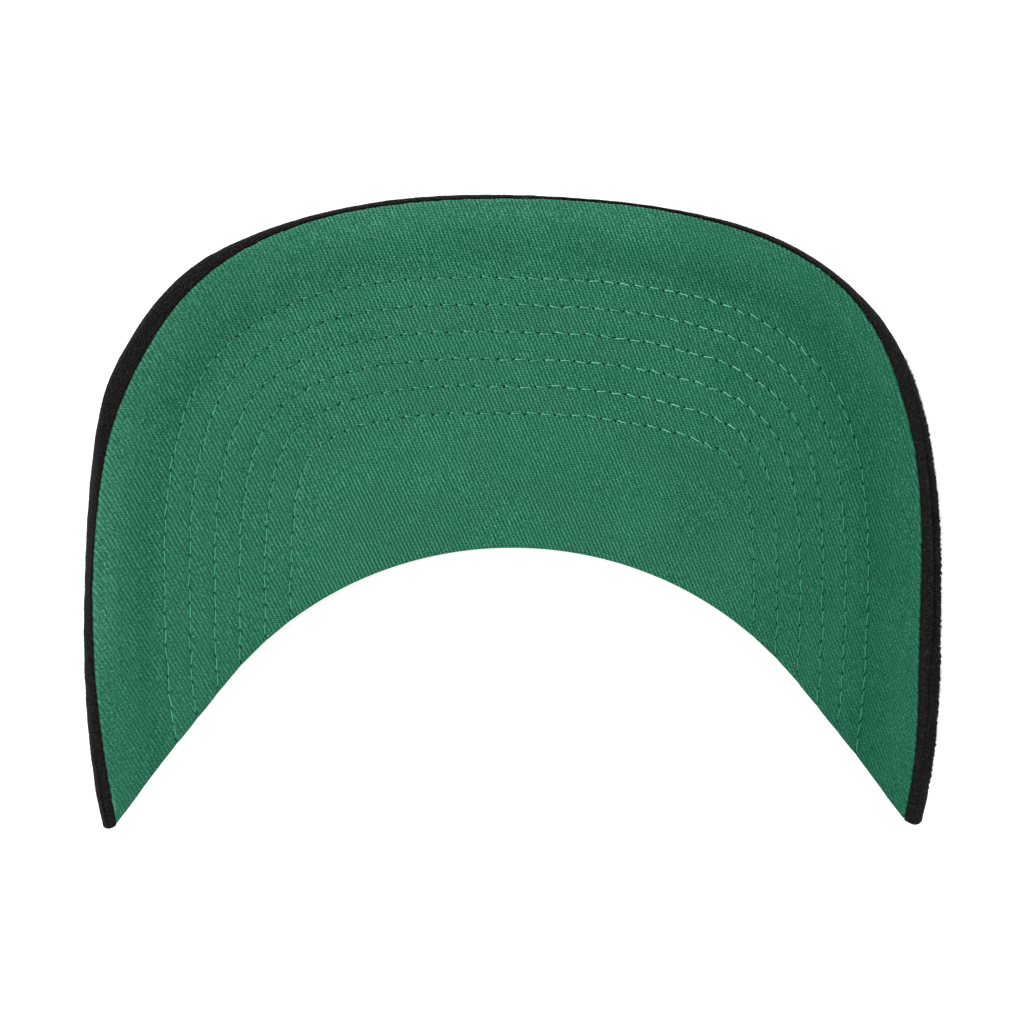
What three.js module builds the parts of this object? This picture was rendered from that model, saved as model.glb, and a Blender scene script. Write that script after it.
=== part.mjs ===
// The peak of a snapback cap, lying on its bowed upper side with its underside up.
// Millimetres: +X across the peak, +Y towards the front of its rim, +Z up.
// Two cloths are laid out flat, given their thickness, and bent together round one cylinder.
import * as THREE from 'three';

// Driving sizes of the flat pattern
const HALF_WIDTH = 88.4; // centre line to the widest point of the rim
const FRONT_TO_WIDEST = 92.4; // front of the rim back to its widest point
const FRONT_TO_TIP = 125.2; // front of the rim back to the tips
const FRONT_TO_NOTCH = 71.4; // length of the peak on its centre line
const FRONT_ROUNDNESS = 2.2; // power of the rim's curve across the peak
const SIDE_ROUNDNESS = 3.7; // power of the rim's curve from front to back
const TIP_DRAW_IN = 4.4; // how far the rim draws in between its widest point and the tip
const TIP_WIDTH = 1.4; // blunt end of a tip, measured across the peak
const TIP_SLANT = 0.7; // how far the inner corner of a tip lies in front of its outer corner
const NOTCH_FLANK_ANGLE = 48.3; // degrees between the straight flank of the notch and the X axis

// Driving sizes of the bend
const BEND_RADIUS = 130; // of the upper side, which lies lowest here
const REST_HALF_WIDTH = 2.5; // half of the flattened strip on which the peak rests

// Driving sizes of the cloths
const UNDER_THICKNESS = 1.3;
const TOP_THICKNESS = 2.3;
const CLOTH_GAP = 0.3; // clearance between the two cloths, also along their seam
const TURN_UNDER = 2; // middle width of the top cloth's edge that is turned to the underside
const ALLOWANCE_WIDTH = 5.6; // strip along the seam that is raised by the allowance beneath it
const ALLOWANCE_HEIGHT = 0.35;

// Width of the turned edge round the rim, as a share of TURN_UNDER
// place: share of the half rim, from -1 at the left tip through 0 at the front to 1 at the right tip
const TURNED_EDGE = [
  { place: -1.0, width: 0.7 },
  { place: -0.93, width: 0.85 },
  { place: -0.82, width: 0.45 },
  { place: -0.7, width: 0.38 },
  { place: -0.6, width: 0.85 },
  { place: -0.48, width: 1.7 },
  { place: -0.35, width: 1.1 },
  { place: -0.22, width: 0.58 },
  { place: 0.0, width: 0.5 },
  { place: 0.22, width: 0.64 },
  { place: 0.35, width: 0.53 },
  { place: 0.52, width: 1.26 },
  { place: 0.68, width: 1.3 },
  { place: 0.84, width: 1.8 },
  { place: 0.93, width: 1.45 },
  { place: 1.0, width: 1.25 },
];

// Cross-section of the raised strip, in shares of ALLOWANCE_WIDTH and ALLOWANCE_HEIGHT
const RAISED_STRIP = [
  { across: 0.0, height: 0.0 },
  { across: 0.15, height: 0.8 },
  { across: 0.45, height: 1.0 },
  { across: 0.85, height: 0.75 },
  { across: 1.25, height: 0.0 },
];

// Fineness of the facets
const SECTIONS_PER_SIDE = 38;
const TIP_CLOSENESS = 0.6; // 0 spaces the sections evenly, and more draws them closer at the tips
const WIDTH_STEPS = 6;
const ROUND_STEPS = 4;
const LENGTH_DIVISIONS = 800;

// Limits where the peak narrows to its tips
const SEAM_LIMIT = 0.6; // most of the width that the turned edge takes
const REACH_LIMIT = 0.8; // most of the width that is set out square to the rim
const NARROWEST_UNDER_CLOTH = 0.8;

const THICKNESS = UNDER_THICKNESS + CLOTH_GAP + TOP_THICKNESS;
const MID_RADIUS = BEND_RADIUS - THICKNESS / 2;
const FRONT_Y = FRONT_TO_TIP / 2;
const QUARTER_TURN = Math.PI / 2;
const { lerp, clamp, degToRad, smoothstep } = THREE.MathUtils;

/** Front of the rim in the flat pattern, from the centre line to the widest point. */
class FrontCurve extends THREE.Curve {
  getPoint(t, target = new THREE.Vector2()) {
    const angle = t * QUARTER_TURN;
    const across = HALF_WIDTH * Math.sin(angle) ** (2 / FRONT_ROUNDNESS);
    const back = FRONT_TO_WIDEST * (1 - Math.max(Math.cos(angle), 0) ** (2 / SIDE_ROUNDNESS));
    return target.set(across, FRONT_Y - back);
  }
}

/** Right half of the rim: the front curve, then a side that draws in slightly to the tip. */
function makeRim() {
  const widest = new THREE.Vector2(HALF_WIDTH, FRONT_Y - FRONT_TO_WIDEST);
  const tip = new THREE.Vector2(HALF_WIDTH - TIP_DRAW_IN, FRONT_Y - FRONT_TO_TIP);
  const middle = new THREE.Vector2(HALF_WIDTH, (widest.y + tip.y) / 2);
  const front = new FrontCurve();
  front.arcLengthDivisions = LENGTH_DIVISIONS;
  const rim = new THREE.CurvePath();
  rim.add(front);
  rim.add(new THREE.QuadraticBezierCurve(widest, middle, tip));
  return rim;
}

/** Right half of the notch for the crown: an arc from the centre line, then a straight flank. */
function makeNotch() {
  const flank = degToRad(NOTCH_FLANK_ANGLE);
  const apexY = FRONT_Y - FRONT_TO_NOTCH;
  const cornerX = HALF_WIDTH - TIP_DRAW_IN - TIP_WIDTH;
  const cornerY = FRONT_Y - FRONT_TO_TIP + TIP_SLANT;
  const drop = apexY - cornerY;
  const radius = (cornerX * Math.sin(flank) - drop * Math.cos(flank)) / (1 - Math.cos(flank));
  const arc = new THREE.ArcCurve(0, apexY - radius, radius, QUARTER_TURN, QUARTER_TURN - flank, true);
  const notch = new THREE.CurvePath();
  notch.add(arc);
  notch.add(new THREE.LineCurve(arc.getPoint(1), new THREE.Vector2(cornerX, cornerY)));
  return notch;
}

/** Width of the turned edge at a place on the rim, eased between the rows of its table. */
function turnedEdgeWidth(place) {
  const next = TURNED_EDGE.findIndex((row) => row.place >= place);
  const after = TURNED_EDGE[Math.max(next, 1)];
  const before = TURNED_EDGE[Math.max(next, 1) - 1];
  const blend = smoothstep(place, before.place, after.place);
  return TURN_UNDER * lerp(before.width, after.width, blend);
}

/** Share of a half curve's length at a section, from the edge of the resting strip to the tip. */
function sectionShare(curve, index) {
  const step = index / (SECTIONS_PER_SIDE - 1);
  const eased = lerp(step, Math.sin(step * QUARTER_TURN), TIP_CLOSENESS);
  return lerp(REST_HALF_WIDTH / curve.getLength(), 1, eased);
}

/** One section line across the flat pattern: square to the rim at first, then straight to the notch. */
class Station {
  constructor(rim, notch, index, side) {
    const share = sectionShare(rim, index);
    const tangent = rim.getTangent(share);
    this.side = side;
    this.rimPoint = rim.getPoint(share);
    this.inward = new THREE.Vector2(tangent.y, -tangent.x);
    this.notchPoint = notch.getPoint(sectionShare(notch, index));
    const width = this.notchPoint.clone().sub(this.rimPoint).dot(this.inward);
    this.roundWidth = Math.min(THICKNESS / 2, REACH_LIMIT * width);
    this.seam = Math.min(turnedEdgeWidth(side * share), SEAM_LIMIT * width);
    this.underStart = this.seam + CLOTH_GAP;
    const stripWidth = ALLOWANCE_WIDTH * RAISED_STRIP.at(-1).across;
    this.reach = Math.min(this.underStart + stripWidth, REACH_LIMIT * width);
    this.stripHeight = ALLOWANCE_HEIGHT * Math.max((this.reach - this.underStart) / stripWidth, 0);
    this.turn = this.rimPoint.clone().addScaledVector(this.inward, this.reach);
    this.length = this.reach + this.turn.distanceTo(this.notchPoint);
  }

  /** Point of the flat pattern at a distance along the section from the rim. */
  flatPoint(distance) {
    if (distance <= this.reach) {
      return this.rimPoint.clone().addScaledVector(this.inward, distance);
    }
    return this.turn.clone().lerp(this.notchPoint, (distance - this.reach) / (this.length - this.reach));
  }

  /** Bent point at a distance from the rim and a depth below the underside. */
  bentPoint([distance, depth]) {
    const flat = this.flatPoint(distance);
    const angle = Math.max(flat.x - REST_HALF_WIDTH, 0) / MID_RADIUS;
    const radius = BEND_RADIUS - THICKNESS + depth;
    const across = Math.min(flat.x, REST_HALF_WIDTH) + radius * Math.sin(angle);
    return new THREE.Vector3(this.side * across, flat.y, BEND_RADIUS - radius * Math.cos(angle));
  }

  /** Depth of the rounded rim's upper half at a distance in from the rim. */
  rimDepth(distance) {
    const outward = clamp(1 - distance / this.roundWidth, 0, 1);
    return (THICKNESS / 2) * (1 - Math.sqrt(1 - outward ** 2));
  }
}

/** Distances and depths round the top cloth: upper side, rounded rim, turned edge and inner face. */
function topClothSection(station) {
  const { length, roundWidth, seam } = station;
  const innerDepth = UNDER_THICKNESS + CLOTH_GAP;
  const section = [];
  for (let step = 0; step < WIDTH_STEPS; step += 1) {
    section.push([lerp(length, roundWidth, step / WIDTH_STEPS), THICKNESS]);
  }
  for (let step = 0; step < ROUND_STEPS; step += 1) {
    const angle = (step / ROUND_STEPS) * QUARTER_TURN;
    section.push([roundWidth * (1 - Math.sin(angle)), (THICKNESS / 2) * (1 + Math.cos(angle))]);
  }
  for (let step = 0; step <= ROUND_STEPS; step += 1) {
    const distance = seam * (1 - Math.cos((step / ROUND_STEPS) * QUARTER_TURN));
    section.push([distance, station.rimDepth(distance)]);
  }
  for (let step = 0; step <= WIDTH_STEPS; step += 1) {
    section.push([lerp(seam, length, step / WIDTH_STEPS), innerDepth]);
  }
  return section;
}

/** Distances and depths round the under cloth: raised strip, flat field and inner face. */
function underClothSection(station) {
  const { length, reach, underStart, stripHeight } = station;
  const section = RAISED_STRIP.map((row) => {
    const distance = lerp(underStart, reach, row.across / RAISED_STRIP.at(-1).across);
    return [distance, station.rimDepth(distance) - row.height * stripHeight];
  });
  for (let step = 1; step <= WIDTH_STEPS; step += 1) {
    section.push([lerp(reach, length, step / WIDTH_STEPS), 0]);
  }
  for (let step = 0; step <= WIDTH_STEPS; step += 1) {
    section.push([lerp(length, underStart, step / WIDTH_STEPS), UNDER_THICKNESS]);
  }
  return section;
}

/** Closed body through one section at each station, from the left tip to the right. */
function loftCloth(stations, makeSection) {
  const sections = stations.map(makeSection);
  const ringSize = sections[0].length;
  const positions = sections.flatMap((section, index) =>
    section.flatMap((corner) => stations[index].bentPoint(corner).toArray()),
  );
  const triangles = [];
  for (let ring = 0; ring < sections.length - 1; ring += 1) {
    for (let corner = 0; corner < ringSize; corner += 1) {
      const here = ring * ringSize + corner;
      const beside = ring * ringSize + ((corner + 1) % ringSize);
      triangles.push(here, beside, here + ringSize);
      triangles.push(beside, beside + ringSize, here + ringSize);
    }
  }
  for (const last of [false, true]) {
    const outline = sections.at(last ? -1 : 0).map(([distance, depth]) => new THREE.Vector2(distance, depth));
    const start = last ? (sections.length - 1) * ringSize : 0;
    for (const [a, b, c] of capTriangles(outline, last)) {
      triangles.push(start + a, start + b, start + c);
    }
  }
  const geometry = new THREE.BufferGeometry();
  geometry.setAttribute('position', new THREE.Float32BufferAttribute(positions, 3));
  geometry.setIndex(triangles);
  geometry.computeVertexNormals();
  return geometry;
}

/** Triangles that close an end section, turned to face out of the body. */
function capTriangles(outline, last) {
  const clockwise = THREE.ShapeUtils.isClockWise(outline);
  const faces = THREE.ShapeUtils.triangulateShape(outline, []);
  return clockwise === last ? faces.map(([a, b, c]) => [a, c, b]) : faces;
}

/** Named mesh of one cloth in its own colour. */
function makeCloth(name, geometry, color, roughness) {
  const material = new THREE.MeshStandardMaterial({ color, roughness, metalness: 0 });
  const mesh = new THREE.Mesh(geometry, material);
  mesh.name = name;
  return mesh;
}

const rim = makeRim();
const notch = makeNotch();
const stations = [];
for (let index = SECTIONS_PER_SIDE - 1; index >= 0; index -= 1) {
  stations.push(new Station(rim, notch, index, -1));
}
for (let index = 0; index < SECTIONS_PER_SIDE; index += 1) {
  stations.push(new Station(rim, notch, index, 1));
}
const underStations = stations.filter(
  (station) => station.length - station.underStart > NARROWEST_UNDER_CLOTH,
);

const peak = new THREE.Group();
peak.add(makeCloth('under_cloth', loftCloth(underStations, underClothSection), '#30795a', 0.85));
peak.add(makeCloth('top_cloth', loftCloth(stations, topClothSection), '#1d1d1f', 0.95));

export default peak;
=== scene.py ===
"""Dresses the peak of a snapback cap: green cotton twill underneath, brushed black wool above.

The peak lies on its bowed upper side, so that its underside shows. Sizes are millimetres of the
cloths' flat pattern until a point is bent into its place, in metres. A flat point has three
parts: across the peak, forward to its front, and depth below the underside.
"""

import logging
import math
from copy import copy
from dataclasses import dataclass, field
from enum import Enum
from typing import NamedTuple, Optional, Sequence, Union

import bpy
import numpy as np
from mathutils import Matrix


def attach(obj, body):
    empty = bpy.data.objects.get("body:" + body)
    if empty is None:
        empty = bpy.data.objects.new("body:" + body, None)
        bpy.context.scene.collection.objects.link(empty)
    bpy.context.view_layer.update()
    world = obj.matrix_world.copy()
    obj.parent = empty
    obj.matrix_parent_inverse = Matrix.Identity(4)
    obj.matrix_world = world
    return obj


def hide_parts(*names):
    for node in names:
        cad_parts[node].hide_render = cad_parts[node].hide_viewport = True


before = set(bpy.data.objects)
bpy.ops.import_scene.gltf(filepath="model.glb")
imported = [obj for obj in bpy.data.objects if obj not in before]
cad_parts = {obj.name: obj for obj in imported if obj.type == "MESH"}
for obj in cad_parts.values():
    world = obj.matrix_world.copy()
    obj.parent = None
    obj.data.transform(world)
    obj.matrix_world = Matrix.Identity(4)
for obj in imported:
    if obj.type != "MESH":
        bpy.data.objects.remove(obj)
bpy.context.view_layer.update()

LOG = logging.getLogger("peak")
METRES = 0.001
FULL_TURN = 2.0 * math.pi
QUARTER_TURN = math.pi / 2.0
THICKNESS = 3.9
HALF_THICKNESS = THICKNESS / 2.0
Array = np.ndarray
Piece = bpy.types.Object
Material = bpy.types.Material
Tree = bpy.types.NodeTree
Socket = bpy.types.NodeSocket
Value = Union[float, Sequence[float], Socket]


class TurnedEdgeRow(NamedTuple):
    """Width of the black edge that shows on the underside, in shares of its middle width."""

    place: float
    width: float


class StitchPathRow(NamedTuple):
    """Distance in from the rim of the outermost and the innermost row of stitches."""

    place: float
    first: float
    last: float


class StitchLookRow(NamedTuple):
    """How bright a stitch's painted highlight starts, how much it dims, its share of the pitch and its slant.
    """

    place: float
    gleam: float
    fade: float
    share: float
    slant: float


class RimDrawRow(NamedTuple):
    """How far the round rim is drawn in from the plain outline, in millimetres."""

    place: float
    inward: float


class StripRow(NamedTuple):
    """Cross-section of the strip raised by the seam allowance, in shares of its sizes."""

    across: float
    height: float


class TipShape(NamedTuple):
    """Where the rounding of a tip starts, measured back along the rim and along the notch."""

    rim_short: float
    radius: float
    notch_short: float
    notch_run: float


# A place on the rim runs from -1 at the left tip through 0 at the front to 1 at the right tip
TURNED_EDGE = [TurnedEdgeRow(*row) for row in (
    (-1.0, 0.9), (-0.95, 1.0), (-0.88, 0.85), (-0.83, 0.6), (-0.76, 0.4), (-0.7, 0.5), (-0.64, 0.76),
    (-0.59, 1.0), (-0.52, 1.62), (-0.47, 1.8), (-0.43, 1.6), (-0.35, 1.08), (-0.28, 0.74), (-0.22, 0.56),
    (-0.12, 0.47), (0.0, 0.5), (0.1, 0.58), (0.2, 0.6), (0.3, 0.56), (0.36, 0.54), (0.42, 0.7),
    (0.48, 1.03), (0.54, 1.33), (0.6, 1.24), (0.68, 1.26), (0.76, 1.56), (0.84, 1.78), (0.93, 1.42),
    (1.0, 1.3),
)]
STITCH_PATHS = [StitchPathRow(*row) for row in (
    (-1.0, 18.2, 43.5), (-0.8, 16.7, 42.9), (-0.68, 16.1, 42.9), (-0.6, 16.4, 43.4), (-0.48, 16.4, 43.6),
    (-0.4, 15.8, 43.1), (-0.25, 15.5, 43.0), (0.0, 17.2, 44.5), (0.2, 16.9, 44.3), (0.3, 16.1, 43.4),
    (0.42, 15.7, 42.0), (0.5, 15.3, 40.6), (0.6, 14.5, 38.9), (0.75, 14.4, 38.5), (0.86, 15.5, 39.3),
    (1.0, 16.0, 39.6),
)]
# The stitches' gleam and fade are a painted highlight that changes with the row's heading: brightest from the
# front to the front right, dimmest down the right side.
STITCH_LOOKS = [StitchLookRow(*row) for row in (
    (-1.0, 0.6, 0.2, 0.94, 0.0), (-0.5, 0.6, 0.4, 0.93, 0.0), (-0.4, 0.75, 0.95, 0.88, 0.03),
    (-0.22, 0.8, 1.0, 0.84, 0.05), (-0.1, 0.95, 0.85, 0.78, 0.07), (0.05, 1.2, 0.55, 0.72, 0.09),
    (0.25, 1.25, 0.4, 0.7, 0.12), (0.36, 1.2, 0.4, 0.72, 0.12), (0.44, 0.75, 0.4, 0.78, 0.1),
    (0.51, 0.4, 0.3, 0.86, 0.04), (0.6, 0.26, 0.2, 0.93, 0.0), (1.0, 0.26, 0.2, 0.94, 0.0),
)]
RIM_DRAW = [RimDrawRow(*row) for row in (
    (-0.96, 0.0), (-0.91, 0.43), (-0.84, 0.42), (-0.79, 0.08), (-0.76, 0.33), (-0.7, 0.66), (-0.63, 0.84),
    (-0.6, 0.52), (-0.54, -0.2), (-0.47, 0.44), (-0.42, 0.05), (-0.36, -0.36), (-0.3, 0.05), (-0.2, 0.1),
    (-0.12, -0.12), (-0.04, 0.05), (0.08, 0.54), (0.17, 0.58), (0.22, 0.46), (0.28, 0.2), (0.34, 0.22),
    (0.4, 0.34), (0.48, 0.14), (0.54, 0.2), (0.61, 0.24), (0.68, -0.08), (0.76, 0.09), (0.87, 0.48),
    (0.92, 0.3), (0.96, 0.0),
)]
RAISED_STRIP = [StripRow(*row) for row in ((0.0, 0.25), (0.15, 0.8), (0.45, 1.0), (0.85, 0.75), (1.25, 0.0))]
EDGE_BLEND = 0.03
PATH_BLEND = 0.1
LOOK_BLEND = 0.05
LEFT_TIP = TipShape(rim_short=0.4, radius=0.75, notch_short=0.0, notch_run=0.7)
RIGHT_TIP = TipShape(rim_short=1.6, radius=1.3, notch_short=1.6, notch_run=0.9)
TIP_TURN = math.radians(76.0)


def ease(low: Union[float, Array], high: Union[float, Array], value: Array) -> Array:
    """Smooth step 3t² - 2t³, where t is how far each value has come from low to high."""
    t = np.clip((value - low) / (high - low), 0.0, 1.0)
    return t * t * (3.0 - 2.0 * t)


def hill(value: Array, centre: Union[float, Array], half_width: Union[float, Array]) -> Array:
    """Smooth hill, 1 at its centre and 0 beyond its half width on either side."""
    return 1.0 - ease(0.0, half_width, np.abs(value - centre))


def read_table(rows: Sequence[NamedTuple], column: str, place: Array, blend: float) -> Array:
    """Reads one column of a table at places on the rim.

    Args:
        rows: Rows of the table, in order of their place.
        column: Name of the column.
        place: Places at which it is wanted.
        blend: Distance along the rim, as a difference of places, over which corners are rounded.

    Returns:
        The column's values, drawn straight from row to row and then averaged over the blend.
    """
    step = 0.0025
    dense = np.arange(-1.3, 1.3, step)
    reach = round(blend / step)
    window = np.hanning(2 * reach + 3)[1:-1]
    line = np.interp(dense, [row.place for row in rows], [getattr(row, column) for row in rows])
    smooth = np.convolve(np.pad(line, reach, mode="edge"), window / window.sum(), "valid")
    return np.interp(place, dense, smooth)


def unit(vectors: Array) -> Array:
    """Vectors scaled to a length of 1 along their last axis."""
    return vectors / np.linalg.norm(vectors, axis=-1, keepdims=True)


def turned_right(headings: Array) -> Array:
    """Flat headings turned a quarter turn clockwise: into the peak, from a heading along its right rim."""
    return np.stack([headings[..., 1], -headings[..., 0]], axis=-1)


@dataclass(frozen=True)
class Unevenness:
    """Soft random swell of cloth: a sum of plane waves with random headings and phases."""

    seed: int
    shortest: float
    longest: float
    waves: int = 24

    def at(self, across: Array, forward: Array) -> Array:
        """Height of the swell at flat points.

        Args:
            across: First coordinates in millimetres.
            forward: Second coordinates in millimetres.

        Returns:
            Heights with a root mean square of about 0.5, mostly from -1 to 1.
        """
        draw = np.random.default_rng(self.seed)
        length = np.exp(draw.uniform(math.log(self.shortest), math.log(self.longest), self.waves))
        heading = draw.uniform(0.0, FULL_TURN, self.waves)
        phase = draw.uniform(0.0, FULL_TURN, self.waves)
        total = np.zeros(np.broadcast(across, forward).shape)
        for size, angle, start in zip(length, heading, phase):
            turn = FULL_TURN / size
            total += np.cos(turn * (np.cos(angle) * across + np.sin(angle) * forward) + start)
        return total / math.sqrt(2.0 * self.waves)


@dataclass(frozen=True)
class HalfCurve:
    """Right half of an edge of the flat pattern, as points an equal distance apart."""

    points: Array
    headings: Array
    length: float

    @classmethod
    def through(cls, corners: Array, count: int = 2401) -> "HalfCurve":
        """Spreads points evenly along a dense line.

        Args:
            corners: Points of the line, from the centre line of the peak to the tip.
            count: Number of points wanted.

        Returns:
            The curve, whose headings are the differences between neighbouring points.
        """
        run = np.concatenate([[0.0], np.cumsum(np.linalg.norm(np.diff(corners, axis=0), axis=1))])
        even = np.linspace(0.0, run[-1], count)
        points = np.stack([np.interp(even, run, corners[:, k]) for k in range(2)], axis=1)
        headings = unit(np.gradient(points, axis=0))
        headings[0] = (1.0, 0.0)
        return cls(points, headings, float(run[-1]))

    def _between(self, values: Array, share: Array) -> Array:
        """Values at shares of the curve's length, drawn straight between its points."""
        steps = np.linspace(0.0, 1.0, len(values))
        return np.stack([np.interp(share, steps, values[:, k]) for k in range(2)], axis=-1)

    def at(self, share: Array) -> Array:
        """Points at shares of the curve's length."""
        return self._between(self.points, share)

    def heading(self, share: Array) -> Array:
        """Unit tangents at shares of the curve's length."""
        return unit(self._between(self.headings, share))


class RimPosition(NamedTuple):
    """Place on the rim that lies nearest to each flat point, and the distance in from it."""

    place: Array
    inset: Array


@dataclass
class PeakPattern:
    """Flat pattern of the peak: its rim and the notch for the crown, the same on both sides."""

    half_width: float = 88.4
    front_to_widest: float = 92.4
    front_to_tip: float = 125.2
    front_to_notch: float = 71.4
    front_roundness: float = 2.2
    side_roundness: float = 3.7
    tip_draw_in: float = 4.4
    tip_width: float = 1.4
    tip_slant: float = 0.7
    flank_angle: float = math.radians(48.3)
    turn_under: float = 2.0
    seam_waver: float = 0.08
    tip_waver: float = 0.2
    seam_line: Unevenness = Unevenness(seed=3, shortest=1.2, longest=6.0)
    rim: HalfCurve = field(init=False)
    notch: HalfCurve = field(init=False)

    def __post_init__(self) -> None:
        """Works out both edges."""
        self.rim = HalfCurve.through(self._rim_line())
        self.notch = HalfCurve.through(self._notch_line())

    @property
    def front(self) -> float:
        """Forward coordinate of the front of the rim: the pattern is centred between its ends."""
        return self.front_to_tip / 2.0

    def _rim_line(self, steps: int = 6000) -> Array:
        """A front with sine and cosine powers, then a parabola that draws in to the tip."""
        angle = QUARTER_TURN * (1.0 - (1.0 - np.linspace(0.0, 1.0, steps)) ** 3)
        back = 1.0 - np.maximum(np.cos(angle), 0.0) ** (2.0 / self.side_roundness)
        across = self.half_width * np.sin(angle) ** (2.0 / self.front_roundness)
        curve = np.stack([across, self.front - self.front_to_widest * back], axis=1)
        t = np.linspace(0.0, 1.0, steps)[1:, None]
        widest = np.array([self.half_width, self.front - self.front_to_widest])
        tip = np.array([self.half_width - self.tip_draw_in, self.front - self.front_to_tip])
        middle = np.array([self.half_width, (widest[1] + tip[1]) / 2.0])
        side = (1.0 - t) ** 2 * widest + 2.0 * t * (1.0 - t) * middle + t**2 * tip
        return np.concatenate([curve, side])

    def _notch_line(self, steps: int = 2000) -> Array:
        """An arc whose end has the flank's angle, then the straight flank to the tip."""
        apex = self.front - self.front_to_notch
        inner_tip = self.half_width - self.tip_draw_in - self.tip_width
        corner = np.array([inner_tip, self.front - self.front_to_tip + self.tip_slant])
        sine, cosine = math.sin(self.flank_angle), math.cos(self.flank_angle)
        radius = (corner[0] * sine - (apex - corner[1]) * cosine) / (1.0 - cosine)
        angle = np.linspace(0.0, self.flank_angle, steps)
        arc = np.stack([radius * np.sin(angle), apex - radius * (1.0 - np.cos(angle))], axis=1)
        return np.concatenate([arc, np.linspace(arc[-1], corner, steps)[1:]])

    def seam(self, place: Array) -> Array:
        """Distance in from the rim of the seam between the two cloths, ragged by the left tip."""
        run = place * self.rim.length
        rough = self.seam_waver + self.tip_waver * ease(-0.92, -0.96, place)
        waver = rough * self.seam_line.at(run, 0.0 * run) * hill(place, 0.0, 1.0) ** 0.12
        return self.turn_under * read_table(TURNED_EDGE, "width", place, EDGE_BLEND) + waver

    def point(self, place: Array, inset: Array) -> Array:
        """Flat points at a distance in from places on the rim, square to it."""
        share = np.abs(place)
        inward = turned_right(self.rim.heading(share))
        flat = self.rim.at(share) + inward * np.asarray(inset)[..., None]
        flat[..., 0] = np.where(place < 0.0, -flat[..., 0], flat[..., 0])
        return flat

    def room_at_notch(self, flat: Array) -> Array:
        """How far flat points lie in front of the notch's edge, measured forward."""
        edge = self.notch.points
        return flat[..., 1] - np.interp(np.abs(flat[..., 0]), edge[:, 0], edge[:, 1])

    def locate(self, flat: Array, block: int = 4096) -> RimPosition:
        """Finds the nearest place on the rim for each flat point.

        Args:
            flat: Flat points, with any leading shape.
            block: Number of points compared with the rim at a time.

        Returns:
            Places and distances: the nearest of the rim's points, then a step along its tangent.
        """
        points = flat.reshape(-1, 2)
        half = np.stack([np.abs(points[:, 0]), points[:, 1]], axis=1)
        coarse = self.rim.points[::2]
        nearest = np.concatenate([
            np.argmin(((half[i : i + block, None] - coarse[None]) ** 2).sum(-1), axis=1)
            for i in range(0, len(half), block)
        ])
        share = nearest / (len(coarse) - 1.0)
        along = ((half - self.rim.at(share)) * self.rim.heading(share)).sum(-1)
        share = np.clip(share + along / self.rim.length, 0.0, 1.0)
        inset = np.linalg.norm(half - self.rim.at(share), axis=1)
        place = np.where(points[:, 0] < 0.0, -share, share)
        return RimPosition(place.reshape(flat.shape[:-1]), inset.reshape(flat.shape[:-1]))


@dataclass(frozen=True)
class Bend:
    """Bows the flat pattern round one cylinder, so that the upper side lies lowest."""

    radius: float = 130.0
    rest_half_width: float = 2.5

    def place(self, flat: Array, depth: Array) -> Array:
        """Bends flat points into place.

        Args:
            flat: Flat points, across and forward, in millimetres.
            depth: How far each lies below the underside.

        Returns:
            Points in metres, on a circle about the cylinder's axis at the radius of their depth.
            The angle round it starts at the strip that stays flat, where the peak rests.
        """
        across, forward = flat[..., 0], flat[..., 1]
        angle = np.maximum(np.abs(across) - self.rest_half_width, 0.0) / (self.radius - HALF_THICKNESS)
        radius = self.radius - THICKNESS + depth
        reach = np.minimum(np.abs(across), self.rest_half_width) + radius * np.sin(angle)
        x = np.where(across < 0.0, -reach, reach)
        z = self.radius - radius * np.cos(angle)
        return np.stack([x, np.broadcast_to(forward, x.shape), z], axis=-1) * METRES


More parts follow.
